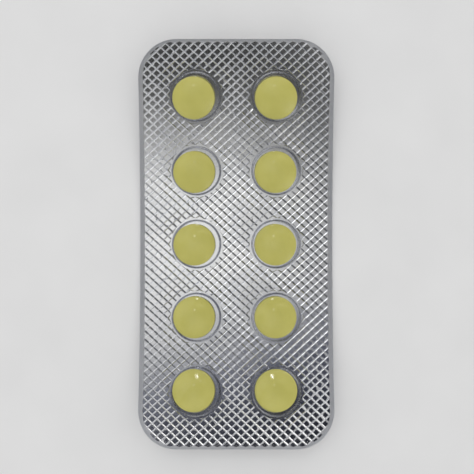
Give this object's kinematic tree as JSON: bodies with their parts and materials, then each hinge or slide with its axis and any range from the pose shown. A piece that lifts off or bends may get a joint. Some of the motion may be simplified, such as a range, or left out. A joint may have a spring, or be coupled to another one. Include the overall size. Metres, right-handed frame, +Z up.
{
  "type": "blister pack of tablets",
  "caption": "Curled strip of clear formed film sealed on knurled silver foil, with round domed pockets in two columns, each holding a pale yellow-green biconvex tablet",
  "frame": {"origin": "centre of the bounding box in plan, at the lowest level of the foil, which the pack rests on", "axes": "+X across the pack, +Y along its length towards row 1, +Z up through the pockets"},
  "size_m": [0.042, 0.0868, 0.0084],
  "materials": {
    "clear_film": "clear gloss",
    "foil": "bright, diamond knurled",
    "tablet_coat": "glossy film coat"
  },
  "bodies": {
    "root": {"forming_film": "clear_film", "lidding_foil": "foil", "tablet_row1_left": "tablet_coat", "tablet_row1_right": "tablet_coat", "tablet_row2_left": "tablet_coat", "tablet_row2_right": "tablet_coat", "tablet_row3_left": "tablet_coat", "tablet_row3_right": "tablet_coat", "tablet_row4_left": "tablet_coat", "tablet_row4_right": "tablet_coat", "tablet_row5_left": "tablet_coat", "tablet_row5_right": "tablet_coat"}
  },
  "joints": []
}
